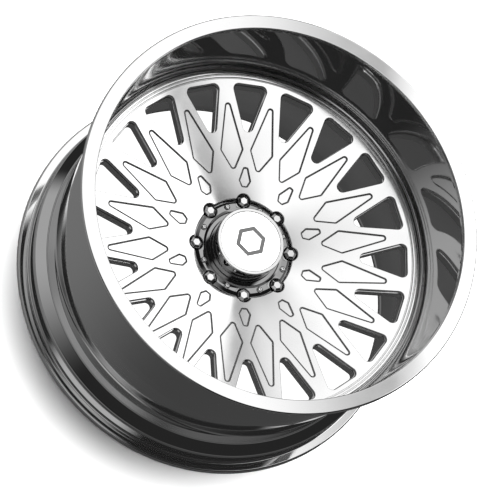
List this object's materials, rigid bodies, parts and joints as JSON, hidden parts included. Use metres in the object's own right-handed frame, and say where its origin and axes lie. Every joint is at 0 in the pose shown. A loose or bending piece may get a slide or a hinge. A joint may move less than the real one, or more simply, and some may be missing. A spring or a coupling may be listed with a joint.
{
  "type": "forged wheel rim",
  "caption": "Deep-lip forged wheel with a dished windowed centre welded into its barrel, a bolt-on hub cap, long lug nuts and a clamp-in valve.",
  "frame": {"origin": "centre of the inboard flange's face, which the wheel lies on", "axes": "+Z along the spin axis, towards the outboard lip; +X through the middle of a window"},
  "size_m": [0.696, 0.696, 0.377],
  "materials": {
    "barrel_aluminium": "polished",
    "face_aluminium": "polished",
    "weld": "machined",
    "nut_chrome": "dark chrome",
    "cap_chrome": "chrome",
    "screw_chrome": "bright chrome",
    "cap_plate": "satin white",
    "emblem_paint": "satin charcoal",
    "seal_rubber": "matte",
    "valve_brass": "nickel plated",
    "valve_steel": "zinc plated",
    "cap_plastic": "knurled black"
  },
  "bodies": {
    "wheel": {"rim_barrel": "barrel_aluminium", "centre_disc": "face_aluminium", "front_weld_ring": "weld", "rear_weld_ring": "weld", "lug_nut_1": "nut_chrome", "lug_nut_2": "nut_chrome", "lug_nut_3": "nut_chrome", "lug_nut_4": "nut_chrome", "lug_nut_5": "nut_chrome", "lug_nut_6": "nut_chrome", "lug_nut_7": "nut_chrome", "lug_nut_8": "nut_chrome", "cap_flange": "cap_chrome", "cap_screw_1": "screw_chrome", "cap_screw_2": "screw_chrome", "cap_screw_3": "screw_chrome", "cap_screw_4": "screw_chrome", "cap_screw_5": "screw_chrome", "cap_screw_6": "screw_chrome", "cap_screw_7": "screw_chrome", "cap_screw_8": "screw_chrome", "cap_barrel": "cap_chrome", "cap_face": "cap_plate", "cap_emblem": "emblem_paint", "cap_seal": "seal_rubber", "valve_stem": "valve_brass", "valve_grommet": "seal_rubber", "valve_washer": "valve_steel", "valve_nut": "valve_steel", "valve_core": "valve_brass", "valve_spring": "valve_steel"},
    "valve_pin": {"valve_pin": "valve_brass"},
    "valve_cap": {"valve_cap": "cap_plastic"}
  },
  "joints": [
    {"name": "valve_pin_press", "type": "slide", "parent": "wheel", "child": "valve_pin", "axis": [0.891, 0.454, 0], "range_m": [0, 0.001], "stiffness_N_per_m": 400},
    {"name": "valve_cap_off", "type": "slide", "parent": "wheel", "child": "valve_cap", "axis": [-0.891, -0.454, 0], "range_m": [0, 0.02]}
  ]
}
